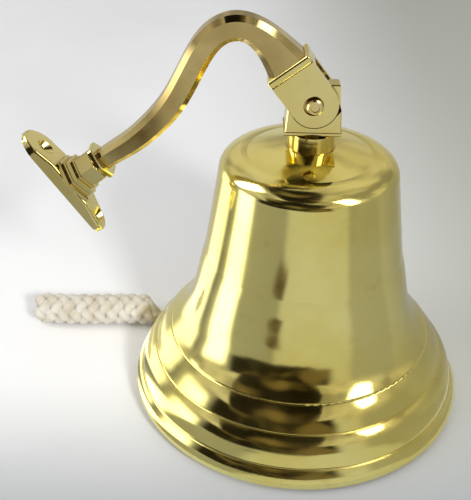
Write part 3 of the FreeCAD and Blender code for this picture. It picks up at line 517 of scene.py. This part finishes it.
plain_object("floor", [(-FLOOR_HALF, -FLOOR_HALF, 0), (FLOOR_HALF, -FLOOR_HALF, 0),
                       (FLOOR_HALF, FLOOR_HALF, 0), (-FLOOR_HALF, FLOOR_HALF, 0)],
             [(0, 1, 2, 3)], pale_sheet())

# What the standing sides of the bell mirror: the bright cloth close round it, which ends in a
# darker room straight ahead. Each band is a bearing, in degrees right of straight ahead, and a
# brightness. The dark room shows between the two bearings DARK_FROM and DARK_TO.
GROUND_BANDS = [(-180, 0.60), (-134, 0.55), (-124, 1.90), (-108, 1.80), (-101, 0.24), (-94, 0.40),
                (-87, 2.50), (-72, 2.50), (-64, 0.36), (-28, 0.33), (-20, 0.56), (0, 0.58),
                (40, 0.56), (48, 0.38), (84, 0.36), (88, 0.40), (118, 0.33), (180, 0.60)]
DARK_FROM, DARK_TO = -62, 26
PATCH_BROWN = (0.10, 0.065, 0.03, 1)


def ground_bands():
    """The cloth's bands by bearing, the dark room beyond them, and a brown patch at front left."""
    material, tree = new_material("ground_bands")
    position = tree.add("ShaderNodeSeparateXYZ", {"Vector": tree.place()})
    rightward, upward = position.outputs["X"], position.outputs["Z"]
    ahead = tree.math("MULTIPLY", position.outputs["Y"], -1)
    bearing = tree.math("ARCTAN2", rightward, ahead)
    fraction = tree.math("ADD", tree.math("DIVIDE", bearing, 2 * math.pi), 0.5)
    bands = tree.ramp(fraction, [((degrees + 180) / 360, (level, level * 0.985, level * 0.95, 1))
                                 for degrees, level in GROUND_BANDS])
    bands.color_ramp.interpolation = "EASE"
    ragged = tree.math("MULTIPLY", tree.noise(tree.place(), 3.2, 2.0, 0.5), 0.12)
    beyond = tree.smooth(tree.math("ADD", upward, ragged), 0.12, 0.17)
    opening = tree.smooth(bearing, math.radians(DARK_FROM - 5), math.radians(DARK_FROM + 3))
    closing = tree.smooth(bearing, math.radians(DARK_TO + 5), math.radians(DARK_TO - 3))
    low_down = tree.smooth(upward, 0.75, 0.65)
    shade = tree.math("MULTIPLY", tree.math("MULTIPLY", beyond, low_down),
                      tree.math("MULTIPLY", opening, closing))
    clutter = tree.smooth(tree.noise(tree.place(), 2.2, 1.0, 0.4), 0.45, 0.65, 0.015, 0.16)
    dark = tree.add("ShaderNodeCombineXYZ", {0: clutter, 1: tree.math("MULTIPLY", clutter, 0.75),
                                             2: tree.math("MULTIPLY", clutter, 0.4)}).outputs[0]
    light = tree.mix(shade, bands.outputs[0], dark)
    patch = tree.math("MULTIPLY", tree.smooth(ahead, 0.292, 0.306), tree.smooth(ahead, 0.41, 0.37))
    patch = tree.math("MULTIPLY", patch, tree.smooth(rightward, -0.22, -0.18))
    patch = tree.math("MULTIPLY", patch, tree.smooth(rightward, -0.11, -0.14))
    light = tree.mix(patch, light, PATCH_BROWN)
    shader = tree.add("ShaderNodeEmission", {"Color": light, "Strength": 1.0})
    clear = tree.add("ShaderNodeBsdfTransparent")
    fade = tree.math("MULTIPLY", tree.smooth(upward, 0.30, 0.60),
                     tree.math("SUBTRACT", 1.0, shade))
    surface = tree.add("ShaderNodeMixShader", {0: fade, 1: shader.outputs[0],
                                               2: clear.outputs[0]})
    tree.add("ShaderNodeOutputMaterial", {"Surface": surface.outputs[0]})
    return material


# The bowl's section, as (radius, height) pairs that start a little outside the bell's lip.
BOWL = [(BELL_RADIUS * 1.12, 0.0), (0.8, 0.0), (1.0, 0.02), (1.14, 0.08), (1.22, 0.18),
        (1.27, 0.32), (1.30, 0.62)]
BOWL_SIDES = 96
BOWL_LIFT = 0.0004
bowl_points, bowl_faces = [], []
for index in range(BOWL_SIDES):
    angle = 2 * math.pi * index / BOWL_SIDES
    bowl_points += [(radius * math.cos(angle), radius * math.sin(angle), rise)
                    for radius, rise in BOWL]
    low_ring, high_ring = index * len(BOWL), (index + 1) % BOWL_SIDES * len(BOWL)
    bowl_faces += [(low_ring + k, low_ring + k + 1, high_ring + k + 1, high_ring + k)
                   for k in range(len(BOWL) - 1)]
ground = plain_object("ground_card", bowl_points, bowl_faces, ground_bands())
ground.location = BELL + Vector((0, 0, BOWL_LIFT))
mirror_only(ground)

CARD_AIM = BELL + Vector((0, 0, 0.1))
LIGHT_AIM = BELL + Vector((0, 0, 0.08))
CARD_CORNERS = 48


def card(name, material, bearing, height, distance, width, tall):
    """A card with rounded corners that faces the bell and shows only in glossy reflections."""
    outline = []
    for corner in range(CARD_CORNERS):
        angle = 2 * math.pi * corner / CARD_CORNERS
        across, up = math.cos(angle), math.sin(angle)
        outline.append((width / 2 * math.copysign(abs(across) ** 0.5, across),
                        tall / 2 * math.copysign(abs(up) ** 0.5, up), 0))
    piece = plain_object(name, outline, [tuple(range(CARD_CORNERS))], material)
    piece.location = CARD_AIM + outward(bearing, height) * distance
    piece.rotation_euler = look_at(piece.location, CARD_AIM)
    mirror_only(piece)
    return piece


def area_light(name, bearing, height, distance, size, power):
    """A square lamp that faces the bell and doesn't show in glossy reflections."""
    light = bpy.data.lights.new(name, "AREA")
    light.shape = "SQUARE"
    light.size = size
    light.energy = power
    lamp = bpy.data.objects.new(name, light)
    scene.collection.objects.link(lamp)
    lamp.location = BELL + outward(bearing, height) * distance
    lamp.rotation_euler = look_at(lamp.location, LIGHT_AIM)
    lamp.visible_glossy = False


def glowing(name, colour, strength):
    """A plain glowing material."""
    material, tree = new_material(name)
    shader = tree.add("ShaderNodeEmission", {"Color": colour, "Strength": strength})
    tree.add("ShaderNodeOutputMaterial", {"Surface": shader.outputs[0]})
    return material


def room_dark():
    """A dark room with dim brown patches."""
    material, tree = new_material("room_dark")
    clutter = tree.smooth(tree.noise(tree.place(), 2.4, 1.0, 0.4), 0.50, 0.72)
    murk = tree.mix(clutter, (0.010, 0.007, 0.004, 1), (0.20, 0.15, 0.08, 1))
    shader = tree.add("ShaderNodeEmission", {"Color": murk, "Strength": 1.0})
    tree.add("ShaderNodeOutputMaterial", {"Surface": shader.outputs[0]})
    return material


DARK = room_dark()
BRIGHT = glowing("bright_card", (1.0, 0.99, 0.96, 1), 5.0)
card("figure", DARK, bearing=-18, height=36, distance=0.85, width=1.05, tall=0.58)
beam = card("overhead_dark", DARK, bearing=180, height=89, distance=1.05, width=0.66, tall=1.10)
beam.location += Vector((-0.12, -0.20, 0.0))
card("window_right", BRIGHT, bearing=56, height=40, distance=1.2, width=0.34, tall=0.80)
card("window_left", BRIGHT, bearing=-108, height=44, distance=1.2, width=0.62, tall=0.80)
area_light("key_light", bearing=24, height=33, distance=1.6, size=0.22, power=17)
area_light("fill_light", bearing=-70, height=45, distance=1.8, size=1.2, power=11)

# The brightness of the reflected room, from the horizon to straight up.
ROOM_LEVELS = [(0.0, 0.45), (0.35, 0.50), (0.60, 0.55), (0.80, 0.55), (1.0, 0.45)]


def room(world):
    """A plain pale surround, but a patchy warm grey one where glossy reflections meet it."""
    world.use_nodes = True
    tree = Tree(world.node_tree)
    direction = tree.add("ShaderNodeTexCoord").outputs["Generated"]
    upward = tree.add("ShaderNodeSeparateXYZ", {"Vector": direction}).outputs["Z"]
    levels = tree.ramp(upward, [(position, (level, level * 0.93, level * 0.82, 1))
                                for position, level in ROOM_LEVELS])
    patches = tree.smooth(tree.noise(direction, 2.2, 3.0, 0.5), 0.38, 0.62, 0.55, 1.25)
    mirrored = tree.add("ShaderNodeBackground", {"Color": levels.outputs[0],
                                                 "Strength": patches})
    plain = tree.add("ShaderNodeBackground", {"Color": (0.93, 0.93, 0.94, 1), "Strength": 0.62})
    glossy_ray = tree.add("ShaderNodeLightPath").outputs["Is Glossy Ray"]
    surround = tree.add("ShaderNodeMixShader", {0: glossy_ray, 1: plain.outputs[0],
                                                2: mirrored.outputs[0]})
    tree.add("ShaderNodeOutputWorld", {"Surface": surround.outputs[0]})


scene.world = bpy.data.worlds.new("room")
room(scene.world)

scene.view_settings.view_transform = "Standard"
scene.view_settings.look = "None"

bpy.context.view_layer.update()
